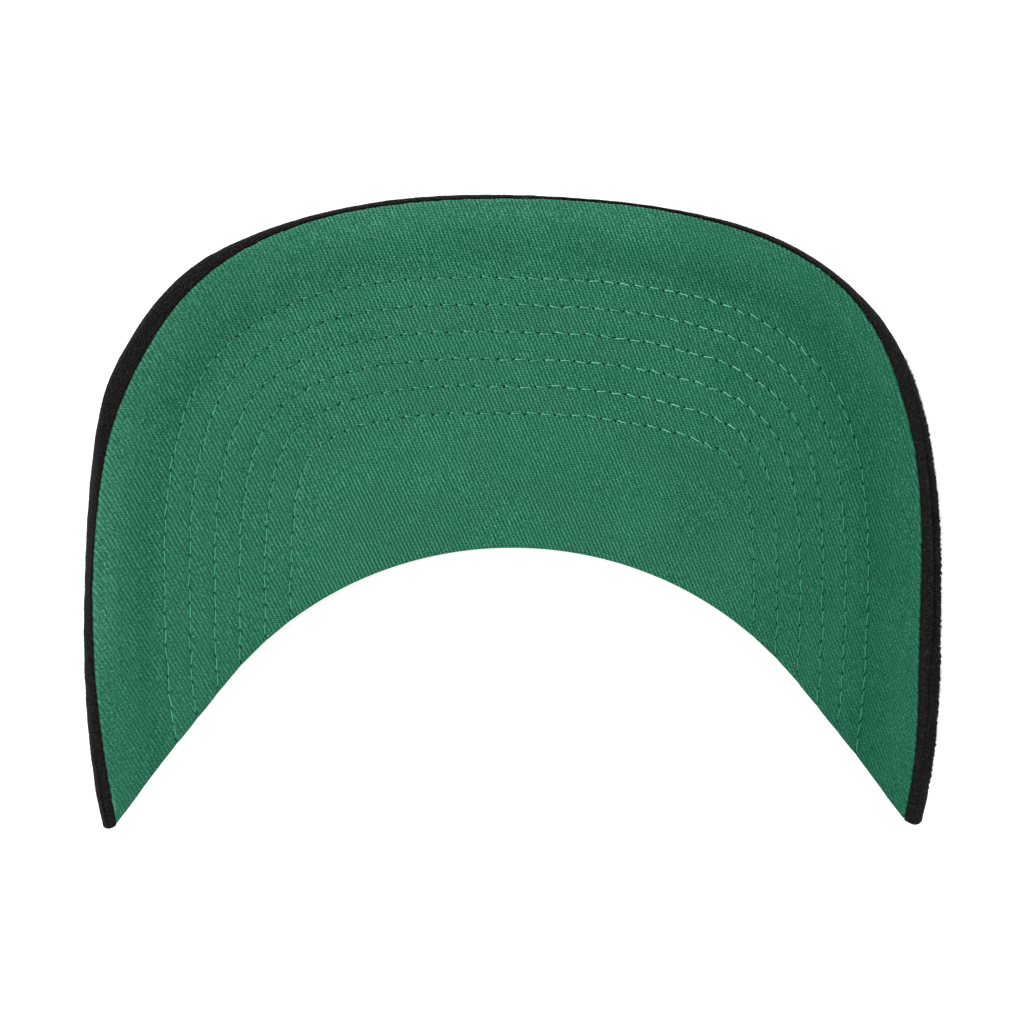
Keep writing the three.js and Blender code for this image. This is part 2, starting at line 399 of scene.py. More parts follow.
@dataclass
class Sections:
    """Lines across the flat pattern from rim to notch, one after another from tip to tip.

    A line starts square to the rim and then runs straight to the notch. Its points are for the
    right half, and side turns them to the left where it is -1.
    """

    side: Array
    place: Array
    rim: Array
    inward: Array
    notch: Array
    fullness: Array

    width_limit: float = 0.8
    seam_limit: float = 0.96
    gap: float = 0.12
    strip_width: float = 7.0
    round_width: Array = field(init=False)
    seam: Array = field(init=False)
    reach: Array = field(init=False)
    length: Array = field(init=False)

    @classmethod
    def across(cls, pattern: PeakPattern, count: int) -> "Sections":
        """Lays the lines out, closer together at the tips, which they turn round.

        Args:
            pattern: The flat pattern.
            count: Number of lines between the two roundings.

        Returns:
            The lines, with the widths of the round rim and the turned edge and their lengths.
        """
        left = cls._half(pattern, count, -1.0, LEFT_TIP)
        right = cls._half(pattern, count, 1.0, RIGHT_TIP)
        lines = cls(*[np.concatenate([a[::-1], b]) for a, b in zip(left, right)])
        width = ((lines.notch - lines.rim) * lines.inward).sum(-1)
        lines.round_width = np.minimum(HALF_THICKNESS, lines.width_limit * width)
        lines.seam = np.minimum(pattern.seam(lines.place), lines.seam_limit * width)
        reach = lines.seam + lines.gap + lines.strip_width
        lines.reach = np.minimum(reach, lines.width_limit * width)
        turned = lines.rim + lines.inward * lines.reach[:, None]
        lines.length = lines.reach + np.linalg.norm(lines.notch - turned, axis=1)
        return lines

    @staticmethod
    def _half(
        pattern: PeakPattern, count: int, side: float, tip: TipShape, rounding: int = 7, even: float = 0.55
    ) -> tuple[Array, ...]:
        """Lays out the lines of one side, from the centre line to its tip.

        Args:
            pattern: The flat pattern.
            count: Number of lines on both sides together, without the roundings.
            side: -1 for the left side and 1 for the right.
            tip: Shape of the tip.
            rounding: Number of lines in the tip's rounding.
            even: Share of the even spacing in the lines' spacing. The rest follows a sine.

        Returns:
            The first six fields. In the rounding the rim follows an arc and the notch runs on to
            its corner.
        """
        step = np.linspace(0.0, 1.0, count // 2 + 1)[(1 if side > 0 else 0) :]
        spread = even * step + (1.0 - even) * np.sin(step * QUARTER_TURN)
        end = 1.0 - tip.rim_short / pattern.rim.length
        corner = 1.0 - tip.notch_short / pattern.notch.length
        start = corner - tip.notch_run / pattern.notch.length
        share = spread * end
        turn = np.linspace(0.0, TIP_TURN, rounding + 1)[1:, None]
        progress = np.sin(turn[:, 0]) / math.sin(TIP_TURN)
        heading = pattern.rim.heading(np.array([end]))
        square = turned_right(heading)
        arc = tip.radius * (np.sin(turn) * heading + (1.0 - np.cos(turn)) * square)
        rounded = pattern.rim.at(np.array([end])) + arc
        last = pattern.notch.at(start + (corner - start) * progress)
        leaning = unit(square * np.cos(turn) + unit(last - rounded) * np.sin(turn))
        return (
            np.full(len(share) + rounding, side),
            side * np.concatenate([share, end + (1.0 - end) * progress]),
            np.concatenate([pattern.rim.at(share), rounded]),
            np.concatenate([turned_right(pattern.rim.heading(share)), leaning]),
            np.concatenate([pattern.notch.at(spread * start), last]),
            np.concatenate([np.ones(len(share)), 1.0 - 0.2 * (1.0 - np.cos(turn[:, 0]))]),
        )

    def only(self, wanted: Array) -> "Sections":
        """The lines that are wanted."""
        chosen = copy(self)
        for name, values in vars(self).items():
            if isinstance(values, Array):
                setattr(chosen, name, values[wanted])
        return chosen

    def mirror(self) -> Array:
        """Factors that turn each line's flat points to its own side."""
        return np.stack([self.side, np.ones_like(self.side)], axis=1)[:, None]

    def flat(self, distance: Array) -> Array:
        """Flat points at distances along the lines, a row for each line."""
        reach, length = self.reach[:, None], self.length[:, None]
        square = self.rim[:, None] + self.inward[:, None] * np.minimum(distance, reach)[..., None]
        beyond = np.clip((distance - reach) / np.maximum(length - reach, 1e-6), 0.0, 1.0)[..., None]
        turned = (self.rim + self.inward * self.reach[:, None])[:, None]
        return (square + beyond * (self.notch[:, None] - turned)) * self.mirror()

    def rim_depth(self, distance: Array) -> Array:
        """Depth of the round rim's upper half: a quarter circle, then the level underside."""
        outward = np.clip(1.0 - distance / self.round_width[:, None], 0.0, 1.0)
        return HALF_THICKNESS * (1.0 - np.sqrt(1.0 - outward**2))


@dataclass
class StitchRows:
    """Six rows of topstitching that follow the rim, from one side of the notch to the other."""

    pattern: PeakPattern
    count: int = 6
    pitch: float = 3.1
    stagger: float = 0.37
    places: Array = field(init=False)
    runs: Array = field(init=False)

    def __post_init__(self) -> None:
        """Measures the length of each row from the centre line to every place."""
        self.places = np.linspace(-1.0, 1.0, 2001)
        middle = len(self.places) // 2
        runs = []
        for row in range(self.count):
            line = self.line(row)
            run = np.concatenate([[0.0], np.cumsum(np.linalg.norm(np.diff(line, axis=0), axis=1))])
            runs.append(run - run[middle])
        self.runs = np.array(runs)

    def _edge_rows(self, place: Array) -> tuple[Array, Array]:
        """Insets of the first and the last row."""
        return tuple(read_table(STITCH_PATHS, column, place, PATH_BLEND) for column in ("first", "last"))

    def line(self, row: int) -> Array:
        """Flat points of a row at its places, between the first row and the last."""
        first, last = self._edge_rows(self.places)
        return self.pattern.point(self.places, first + (last - first) * row / (self.count - 1))

    def position(self, spot: RimPosition) -> tuple[Array, Array, Array]:
        """Places points among the rows.

        Args:
            spot: Positions on the rim.

        Returns:
            The row as a number that grows smoothly from 0, the length along that row from the
            centre line, and the distance between rows.
        """
        first, last = self._edge_rows(spot.place)
        spacing = (last - first) / (self.count - 1)
        row = (spot.inset - first) / spacing
        low = np.clip(np.floor(row), 0, self.count - 2).astype(int)
        runs = np.stack([np.interp(spot.place, self.places, run) for run in self.runs])
        before = np.take_along_axis(runs, low[None], axis=0)[0]
        after = np.take_along_axis(runs, low[None] + 1, axis=0)[0]
        return row, before + (after - before) * (row - low), spacing

    def phase(self, row: Array) -> Array:
        """Share of the pitch by which a row's stitches are shifted."""
        return np.mod(self.stagger * row, 1.0)


def make_mesh(
    name: str, vertices: Array, quads: Array, triangles: Array, attributes: Optional[dict[str, Array]] = None
) -> Piece:
    """Makes an object from arrays.

    Args:
        name: Name of the object.
        vertices: Points in metres.
        quads: Four corners of each face.
        triangles: Three corners of each further face.
        attributes: A vector for each vertex, by name, that the material reads.

    Returns:
        The smooth-shaded object, linked to the scene.
    """
    mesh = bpy.data.meshes.new(name)
    corners = np.concatenate([quads.ravel(), triangles.ravel()]).astype(np.int32)
    ends = np.concatenate([np.full(len(quads), 4), np.full(len(triangles), 3)])
    mesh.vertices.add(len(vertices))
    mesh.vertices.foreach_set("co", vertices.astype(np.float32).ravel())
    mesh.loops.add(len(corners))
    mesh.loops.foreach_set("vertex_index", corners)
    mesh.polygons.add(len(ends))
    mesh.polygons.foreach_set("loop_start", (np.cumsum(ends) - ends).astype(np.int32))
    mesh.update(calc_edges=True)
    for key, values in (attributes or {}).items():
        layer = mesh.attributes.new(key, "FLOAT_VECTOR", "POINT")
        layer.data.foreach_set("vector", values.astype(np.float32).ravel())
    mesh.validate()
    piece = bpy.data.objects.new(name, mesh)
    bpy.context.scene.collection.objects.link(piece)
    return piece


def loft(name: str, rings: Array, attributes: dict[str, Array]) -> Piece:
    """Closed body through a row of rings, with a fan of triangles at each end.

    Args:
        name: Name of the object.
        rings: Points in metres, an array of rings of equal size.
        attributes: Vectors for each point, in the same layout.

    Returns:
        The object. Quad k of a ring joins its point k to the next, and both to the next ring.
    """
    count, size = rings.shape[:2]
    first, after = np.arange(size), (np.arange(size) + 1) % size
    ring = np.arange(count - 1)[:, None] * size
    here, beside = (ring + first).ravel(), (ring + after).ravel()
    quads = np.stack([here, beside, beside + size, here + size], axis=1)
    last = (count - 1) * size
    centre = np.full(size, count * size)
    fans = np.concatenate([
        np.stack([centre, after, first], axis=1),
        np.stack([centre + 1, last + first, last + after], axis=1),
    ])

    def spread(values: Array) -> Array:
        """Values of all points in one row, then the means of the end rings."""
        return np.concatenate([values.reshape(-1, 3), [values[0].mean(0), values[-1].mean(0)]])

    vectors = {key: spread(values) for key, values in attributes.items()}
    return make_mesh(name, spread(rings), quads, fans, vectors)


def strands(
    name: str, lines: Array, sideways: Array, upward: Array, radius: Array, sides: int, bend: Bend, lay: Array
) -> Piece:
    """Many short closed tubes in one mesh, given in the flat pattern and then bent into place.

    Args:
        name: Name of the object.
        lines: Flat points with depth, an array of strands by steps by three.
        sideways: Unit vectors to one side of each strand, one for each strand.
        upward: Unit vectors square to them.
        radius: Radius at each step, an array of strands by steps.
        sides: Number of sides of a tube.
        bend: The bend.
        lay: Vector for each strand and step that the material reads.

    Returns:
        The object. A point is the line's point plus the radius times cosine and sine of its
        angle along the two side vectors.
    """
    count, steps = lines.shape[:2]
    angle = np.arange(sides) * FULL_TURN / sides
    around = (
        sideways[:, None, None] * np.cos(angle)[None, None, :, None]
        + upward[:, None, None] * np.sin(angle)[None, None, :, None]
    )
    points = lines[:, :, None] + radius[:, :, None, None] * around
    placed = bend.place(points[..., :2], points[..., 2]).reshape(-1, 3)
    caps = bend.place(lines[:, [0, -1], :2], lines[:, [0, -1], 2]).reshape(-1, 3)
    first, after = np.arange(sides), (np.arange(sides) + 1) % sides
    strand = np.arange(count)[:, None] * steps * sides
    ring = strand[:, None] + np.arange(steps - 1)[None, :, None] * sides
    here, beside = ring + first, ring + after
    quads = np.stack([here, here + sides, beside + sides, beside], axis=-1).reshape(-1, 4)
    start = len(placed) + 2 * np.arange(count)[:, None] + np.zeros(sides, int)
    far = strand + (steps - 1) * sides
    fans = np.concatenate([
        np.stack([start, strand + first, strand + after], axis=-1).reshape(-1, 3),
        np.stack([start + 1, far + after, far + first], axis=-1).reshape(-1, 3),
    ])
    every = np.repeat(lay[:, :, None], sides, axis=2).reshape(-1, 3)
    vectors = {"lay": np.concatenate([every, lay[:, [0, -1]].reshape(-1, 3)])}
    return make_mesh(name, np.concatenate([placed, caps]), quads, fans, vectors)


def linear(code: str) -> tuple[float, float, float, float]:
    """Linear colour of an sRGB hex code."""
    parts = [int(code[k : k + 2], 16) / 255.0 for k in (1, 3, 5)]
    return (*[p / 12.92 if p <= 0.04045 else ((p + 0.055) / 1.055) ** 2.4 for p in parts], 1.0)


def add_node(
    tree: Tree,
    kind: str,
    inputs: Optional[dict[Union[int, str], Value]] = None,
    stops: Sequence[tuple[float, str]] = (),
    **settings: object,
) -> bpy.types.NodeOutputs:
    """Adds a node to a tree.

    Args:
        tree: The material's or world's node tree.
        kind: Name of the node's type, without the word ShaderNode that starts them all.
        inputs: For its sockets, by name or number, a value or a socket to link from.
        stops: Of a colour ramp, the stops, each a position and an sRGB code.
        settings: Properties to set on it.

    Returns:
        The node's output sockets.
    """
    node = tree.nodes.new("ShaderNode" + kind)
    for key, value in settings.items():
        setattr(node, key, value)
    for key, value in (inputs or {}).items():
        if isinstance(value, Socket):
            tree.links.new(value, node.inputs[key])
        else:
            node.inputs[key].default_value = value
    for _ in range(len(stops) - 2):
        node.color_ramp.elements.new(0.5)
    for index, (position, code) in enumerate(stops):
        node.color_ramp.elements[index].position = position
        node.color_ramp.elements[index].color = linear(code)
    return node.outputs


def new_material(name: str) -> tuple[Material, Tree]:
    """A material with an empty node tree, and the tree."""
    material = bpy.data.materials.new(name)
    material.use_nodes = True
    material.node_tree.nodes.clear()
    return material, material.node_tree


def finish_surface(
    tree: Tree, colour: Value, relief: dict[str, Value], inputs: dict[str, Value]
) -> None:
    """Ends a tree with its relief, the surface shader and the output.

    Args:
        tree: The material's node tree.
        colour: Its base colour.
        relief: Inputs of the bump, or none for a surface without.
        inputs: Other inputs of the shader.
    """
    if relief:
        inputs = {**inputs, "Normal": add_node(tree, "Bump", relief)[0]}
    shader = add_node(tree, "BsdfPrincipled", {"Base Color": colour, **inputs})
    add_node(tree, "OutputMaterial", {"Surface": shader[0]})


@dataclass(frozen=True)
class CottonTwill:
    """Piece-dyed green cotton twill, woven in steep wales.

    To the eye the wales are fine light ridges with dark pinholes between them, where the picks
    go under. The surface is matt, with a faint bloom of fibre ends. The scales are turns of the
    pattern for each millimetre: the wales are 0.72 mm apart, and the yarns' unevenness and the
    flecks of fibre, finer on the real cloth, are drawn as coarse as they need to show.
    """

    dark: str = "#003a29"
    middle: str = "#28684e"
    light: str = "#66ae92"
    # Colour of the painted shade in the needle holes.
    hole_shade: str = "#000f09"
    base: float = -0.47
    wale: tuple[float, float] = (1.265, 0.56)
    pick: tuple[float, float] = (0.19, 2.19)
    yarn_along: tuple[float, float, float] = (-0.12, 0.3, 0.0)
    yarns_for_each_wale: float = 1.6
    hole_radius: float = 0.2
    shade_beside_thread: float = 0.14

    def make(self, rows: StitchRows) -> Material:
        """Makes the material.

        Args:
            rows: The rows of stitches, at whose needle holes it paints shade.

        Returns:
            The material. Three cosine waves on a lattice make the weave, and noise wears it.
        """
        material, tree = new_material("green_cotton_twill")
        weave = add_node(tree, "Attribute", attribute_name="weave")["Vector"]
        noises = {
            "wander": {"Scale": 0.35, "Detail": 3.0},
            "fleck": {"Scale": 4.2, "Detail": 2.0, "Roughness": 0.7},
            "patchy": {"Scale": 0.9, "Detail": 1.0},
            "cloud": {"Scale": 0.06, "Detail": 4.0},
        }
        noise = {
            key: add_node(tree, "TexNoise", {"Vector": weave, **inputs}) for key, inputs in noises.items()
        }
        wander = noise["wander"]["Color"]
        pulled = {0: wander, 1: (0.3, 0.25, 0.0), 2: weave}
        cloth = add_node(tree, "VectorMath", pulled, operation="MULTIPLY_ADD")[0]
        yarn_inputs = {"Vector": self._yarn_vector(tree, cloth), "Scale": 1.0, "Detail": 2.0}
        yarn = add_node(tree, "TexNoise", yarn_inputs)[0]
        # Painted light and shade of the twill, then the strength of its weave, which wear softens.
        wear = add_node(tree, "Attribute", attribute_name="wear")["Vector"]
        painted_light, strength, _ = add_node(tree, "SeparateXYZ", {0: wear})
        uneven = {0: noise["patchy"][0], 1: 0.8, 2: 0.6}
        uneven = add_node(tree, "Math", uneven, operation="MULTIPLY_ADD")[0]
        strength = add_node(tree, "Math", {0: uneven, 1: strength}, operation="MULTIPLY")[0]
        level: Value = self.base
        for source, gain in (
            (self._lattice(tree, cloth), strength), (yarn, 0.2), (noise["fleck"][0], 1.5),
            (noise["cloud"][0], 0.12), (painted_light, 1.0),
        ):
            level = add_node(tree, "Math", {0: source, 1: gain, 2: level}, operation="MULTIPLY_ADD")[0]
        stops = ((0.0, self.dark), (0.5, self.middle), (1.0, self.light))
        dyed = add_node(tree, "ValToRGB", {0: level}, stops)[0]
        # Painted shade at the needle holes and beside the thread, mixed over the dyed colour.
        hole_shade = self._needle_holes(tree, rows, wander)
        colour = add_node(tree, "Mix", {0: hole_shade, 6: dyed, 7: linear(self.hole_shade)}, data_type="RGBA")[2]
        finish_surface(tree, colour, {"Height": level, "Strength": 0.5, "Distance": 0.08 * METRES}, {
            "Roughness": 0.9, "Specular IOR Level": 0.03, "Sheen Weight": 0.01, "Sheen Roughness": 0.6,
        })
        return material

    def _lattice(self, tree: Tree, cloth: Socket) -> Socket:
        """Level of the weave: wales, picks and the wave between them, darkest at the pinholes with painted
        shade.
        """
        crossing = (self.wale[0] - self.pick[0], self.wale[1] - self.pick[1])
        level: Value = 0.0
        for wave, gain in ((self.wale, -0.185), (crossing, -0.087), (self.pick, -0.088)):
            along = (FULL_TURN * wave[0], FULL_TURN * wave[1], 0.0)
            turns = add_node(tree, "VectorMath", {0: cloth, 1: along}, operation="DOT_PRODUCT")["Value"]
            height = add_node(tree, "Math", {0: turns}, operation="COSINE")[0]
            level = add_node(tree, "Math", {0: height, 1: gain, 2: level}, operation="MULTIPLY_ADD")[0]
        return level

    def _yarn_vector(self, tree: Tree, cloth: Socket) -> Socket:
        """Coordinates that change from wale to wale and slowly along each."""
        fine = self.yarns_for_each_wale
        parts = [
            add_node(tree, "VectorMath", {0: cloth, 1: along}, operation="DOT_PRODUCT")["Value"]
            for along in ((fine * self.wale[0], fine * self.wale[1], 0.0), self.yarn_along)
        ]
        return add_node(tree, "CombineXYZ", {0: parts[0], 1: parts[1]})[0]

    def _needle_holes(self, tree: Tree, rows: StitchRows, wander: Socket) -> Socket:
        """Paints shade at the needle holes and beside each row's thread.

        Args:
            tree: The material's node tree.
            rows: The rows of stitches.
            wander: Noise by which each hole strays from its row.

        Returns:
            Share of painted shade: a soft disc at each needle hole and a faint line along each row.
        """
        lies = add_node(tree, "Attribute", attribute_name="rows")["Vector"]
        row, run, spacing = add_node(tree, "SeparateXYZ", {0: lies})
        nearest = add_node(tree, "Math", {0: row}, operation="ROUND")[0]
        nearest = add_node(tree, "Clamp", {0: nearest, 1: 0.0, 2: rows.count - 1.0})[0]
        turns: Value = 0.52
        for source, gain in ((nearest, -rows.stagger), (run, 1.0 / rows.pitch)):
            turns = add_node(tree, "Math", {0: source, 1: gain, 2: turns}, operation="MULTIPLY_ADD")[0]
        turned = add_node(tree, "Math", {0: turns}, operation="FRACT")[0]
        ahead = add_node(tree, "Math", {0: turned, 1: 0.5}, operation="SUBTRACT")[0]
        along = add_node(tree, "Math", {0: ahead, 1: rows.pitch}, operation="MULTIPLY")[0]
        rows_off = add_node(tree, "Math", {0: row, 1: nearest}, operation="SUBTRACT")[0]
        away = add_node(tree, "Math", {0: rows_off, 1: spacing}, operation="MULTIPLY")[0]
        spot = add_node(tree, "CombineXYZ", {0: along, 1: away})[0]
        strayed = {0: wander, 1: (0.6, 0.6, 0.0), 2: spot}
        strayed = add_node(tree, "VectorMath", strayed, operation="MULTIPLY_ADD")[0]
        strayed = add_node(tree, "VectorMath", {0: strayed, 1: (-0.3, -0.3, 0.0)}, operation="ADD")[0]
        reach = add_node(tree, "VectorMath", {0: strayed}, operation="LENGTH")["Value"]
        beside = add_node(tree, "Math", {0: away}, operation="ABSOLUTE")[0]
        hole_shade = {0: reach, 1: self.hole_radius * 0.7, 2: self.hole_radius * 1.4, 3: 1.0, 4: 0.0}
        line = {0: beside, 1: 0.1, 2: 0.4, 3: self.shade_beside_thread, 4: 0.0}
        hole_shade, line = [
            add_node(tree, "MapRange", inputs, interpolation_type="SMOOTHSTEP")[0] for inputs in (hole_shade, line)
        ]
        return add_node(tree, "Math", {0: hole_shade, 1: line}, operation="MAXIMUM")[0]


@dataclass(frozen=True)
class BrushedWool:
    """Black wool-blend cap cloth, milled and lightly brushed.

    To the eye it is nearly black and fully matt, with short grey fibre ends lying along the rim.
    The felted grain is a third of a millimetre, coarser than the real fibres, so that it shows.
    """

    dark: str = "#0b0b0c"
    middle: str = "#151516"
    light: str = "#303032"

    def make(self) -> Material:
        """Makes the material: noise drawn out along the grain, and the painted light and shade of groove,
        seam, ridge and edge.
        """
        material, tree = new_material("black_brushed_wool")
        grain = add_node(tree, "Attribute", attribute_name="grain")["Vector"]
        streak = add_node(tree, "VectorMath", {0: grain, 1: (1.1, 2.3, 0.0)}, operation="MULTIPLY")[0]
        drawn_out = {"Vector": streak, "Scale": 1.0, "Detail": 4.0, "Roughness": 0.7, "Distortion": 1.5}
        fibres = add_node(tree, "TexNoise", drawn_out)[0]
        felt = add_node(tree, "TexNoise", {"Vector": grain, "Scale": 3.0, "Detail": 3.0, "Roughness": 0.7})[0]
        felted = add_node(tree, "Math", {0: felt, 1: 1.6, 2: -0.83}, operation="MULTIPLY_ADD")[0]
        level = add_node(tree, "Math", {0: fibres, 1: felted}, operation="ADD")[0]
        # The grain's third part is painted light and shade.
        shade = add_node(tree, "SeparateXYZ", {0: grain})[2]
        shaded = add_node(tree, "Math", {0: level, 1: shade}, operation="ADD")[0]
        stops = ((0.3, self.dark), (0.5, self.middle), (0.75, self.light))
        colour = add_node(tree, "ValToRGB", {0: shaded}, stops)[0]
        finish_surface(tree, colour, {"Height": level, "Strength": 0.7, "Distance": 0.16 * METRES}, {
            "Roughness": 0.95, "Specular IOR Level": 0.05, "Sheen Weight": 0.03, "Sheen Roughness": 0.5,
        })
        return material


@dataclass(frozen=True)
class SewingThread:
    """Spun polyester sewing thread, twisted from two plies.

    To the eye it is smoother and lighter than the cloth, with fine slanting lines from its twist, about 0.7
    mm apart. A painted highlight makes it brightest where it comes up at the needle hole.
    """

    name: str
    dull: str
    plain: str
    bright: str

    def make(self) -> Material:
        """Makes the material: a ramp for each stitch's painted highlight, and a slanting wave for the twist.
        """
        material, tree = new_material(self.name)
        lay = add_node(tree, "Attribute", attribute_name="lay")["Vector"]
        gleam = add_node(tree, "SeparateXYZ", {0: lay})[0]
        stops = ((0.0, self.dull), (0.5, self.plain), (1.0, self.bright))
        colour = add_node(tree, "ValToRGB", {0: gleam}, stops)[0]
        turns = add_node(tree, "VectorMath", {0: lay, 1: (0.0, 9.0, 2.0)}, operation="DOT_PRODUCT")["Value"]
        twist = add_node(tree, "Math", {0: turns}, operation="SINE")[0]
        finish_surface(
            tree, colour, {"Height": twist, "Strength": 0.5, "Distance": 0.02 * METRES},
            {"Roughness": 0.55, "Specular IOR Level": 0.2},
        )
        return material


@dataclass(frozen=True)
class LooseFibre:
    """Single fibres that stand off a cloth: thin, matt and a little lighter than it."""

    name: str
    root: str
    end: str

    def make(self) -> Material:
        """Makes the material: a ramp from the fibre's root to its end."""
        material, tree = new_material(self.name)
        lay = add_node(tree, "Attribute", attribute_name="lay")["Vector"]
        along = add_node(tree, "SeparateXYZ", {0: lay})[0]
        colour = add_node(tree, "ValToRGB", {0: along}, ((0.0, self.root), (1.0, self.end)))[0]
        finish_surface(tree, colour, {}, {"Roughness": 0.8, "Specular IOR Level": 0.1})
        return material


@dataclass(frozen=True)
class LightTable:
    """Matt white acrylic of a product photographer's table, which glows evenly from below."""

    shade: str = "#fafafa"
    glow: float = 0.5

    def make(self) -> Material:
        """Makes the material: a plain colour with fine noise, of about a millimetre, in its relief."""
        material, tree = new_material("matt_white_acrylic")
        point = add_node(tree, "TexCoord")["Object"]
        noise = add_node(tree, "TexNoise", {"Vector": point, "Scale": 900.0})[0]
        white = linear(self.shade)
        finish_surface(tree, white, {"Height": noise, "Strength": 0.05, "Distance": 0.05 * METRES}, {
            "Roughness": 0.9, "Specular IOR Level": 0.1,
            "Emission Color": white, "Emission Strength": self.glow,
        })
        return material


class Face(Enum):
    """Side of the peak that a row of stitches shows on."""

    UNDERSIDE = "underside"
    UPPER_SIDE = "upper_side"


@dataclass
class PeakForm:
    """What the two cloths share: the pattern, the bend, the rows of stitches and their relief."""

    pattern: PeakPattern = field(default_factory=PeakPattern)
    bend: Bend = Bend()
    rows: StitchRows = field(init=False)
    allowance_width: float = 5.6
    allowance_height: float = 0.35
    hollow_depth: float = 0.14
    hollow_place: float = 2.2
    hollow_reach: float = 1.1
    channel_depth: float = 0.17
    channel_width: float = 0.75
    upper_channel_width: float = 1.35
    needle_dip: float = 0.1
    needle_width: float = 0.6
    puff: float = 0.05
    swell_height: float = 0.09
    crumple_height: float = 0.016
    upper_swell: float = 0.05
    narrow_width: float = 8.0
    room_at_tip: float = 4.0
    room_at_front: float = 18.0
    swell: Unevenness = Unevenness(seed=11, shortest=14.0, longest=60.0)
    crumple: Unevenness = Unevenness(seed=17, shortest=3.5, longest=9.0)

    def __post_init__(self) -> None:
        """Lays the rows of stitches out on the pattern."""
        self.rows = StitchRows(self.pattern)

    def channels(self, spot: RimPosition, width: float) -> Array:
        """Depth of the stitched channels, deepest at each needle hole, less the puffs between."""
        row, run, spacing = self.rows.position(spot)
        nearest = np.clip(np.round(row), 0, self.rows.count - 1)
        away = np.abs(row - nearest) * spacing
        turns = FULL_TURN * (run / self.rows.pitch - self.rows.phase(nearest))
        needle = (0.5 + 0.5 * np.cos(turns)) ** 2
        line = np.exp(-((away / width) ** 2))
        dip = np.exp(-((away / (self.needle_width * width)) ** 2))
        between = (row > 0.0) * (row < self.rows.count - 1.0)
        puffed = self.puff * np.sin(np.pi * np.mod(row, 1.0)) ** 2 * between
        return line * self.channel_depth + dip * needle * self.needle_dip - puffed

    def underside_relief(self, flat: Array, spot: RimPosition) -> Array:
        """Height of the green cloth above the plain underside.

        Args:
            flat: Flat points.
            spot: The same points in the rim's terms.

        Returns:
            The strip raised by the seam allowance, less a hollow behind it and the channels,
            with soft swells. All of it fades out where the peak narrows to its tips.
        """
        across = spot.inset - self.pattern.seam(spot.place)
        strip = RAISED_STRIP
        profile = np.interp(
            across / self.allowance_width, [row.across for row in strip], [row.height for row in strip]
        )
        hollow = hill(
            across, self.hollow_place * self.allowance_width, self.hollow_reach * self.allowance_width
        )
        height = self.allowance_height * profile - self.hollow_depth * hollow
        height = height - self.channels(spot, self.channel_width)
        height = height + self.swell_height * self.swell.at(flat[..., 0], flat[..., 1])
        height = height + self.crumple_height * self.crumple.at(flat[..., 0], flat[..., 1])
        growth = (self.room_at_front - self.room_at_tip) * (1.0 - np.abs(spot.place))
        room = np.minimum(self.pattern.room_at_notch(flat), growth + self.room_at_tip)
        return height * ease(0.0, self.narrow_width, spot.inset + room)

    def upper_relief(self, flat: Array, spot: RimPosition) -> Array:
        """How far the black cloth's outer face lies inside the plain upper side, never below it."""
        swell = np.clip(self.swell.at(flat[..., 1], flat[..., 0]), -1.0, 1.0)
        sunk = np.maximum(self.channels(spot, self.upper_channel_width), 0.0)
        inside = sunk + self.upper_swell * (1.0 + swell)
        return inside * ease(0.0, 6.0, spot.inset) * ease(0.0, 3.0, np.abs(flat[..., 0]))

    def wear(self, flat: Array, spot: RimPosition) -> Array:
        """Painted light and shade on the green cloth, and the wear of its weave.

        Args:
            flat: Flat points.
            spot: The same points in the rim's terms.

        Returns:
            Its lightness, about 0, which is painted light and shade, and the strength of its weave. It is
            lighter by the seam and along the raised strip with a painted highlight, darker with painted shade
            in the hollow behind it, by the middle of the notch, towards the sides and at the tips, and
            darkens slowly from left to right as painted light from the left. The weave is softer at the sides
            and along the strip, from wear.
        """
        x, y = flat[..., 0], flat[..., 1]
        across = spot.inset - self.pattern.seam(spot.place)
        strip = hill(across, 0.45 * self.allowance_width, 0.9 * self.allowance_width)
        hollow = hill(across, 2.0 * self.allowance_width, 1.0 * self.allowance_width)
        patch = np.exp(-((x / 26.0) ** 2) - ((y + 6.0) / 11.0) ** 2)
        edge = np.exp(-((across / 0.5) ** 2))
        side = ease(28.0, 66.0, np.abs(x))
        # Painted highlight along the raised strip and by the seam, brightest at two patches; painted shade in
        # the hollow, by the notch's middle, at the sides and tips, and from left to right.
        lightening = 0.06 - 0.03 * side + 0.05 * hill(spot.place, -0.7, 0.2) + 0.03 * hill(spot.place, 0.42, 0.2)
        painted_light = lightening * strip + 0.09 * edge - 0.05 * hollow - 0.02 * patch - 0.015 * side
        painted_light = painted_light - 0.0007 * x - 0.0003 * np.abs(x) - 0.025 * ease(-20.0, -60.0, y)
        strength = 1.0 - 0.28 * strip - 0.2 * side - 0.25 * side * ease(2.0, -38.0, y)
        return np.stack([painted_light, strength, 0.0 * painted_light], axis=-1)


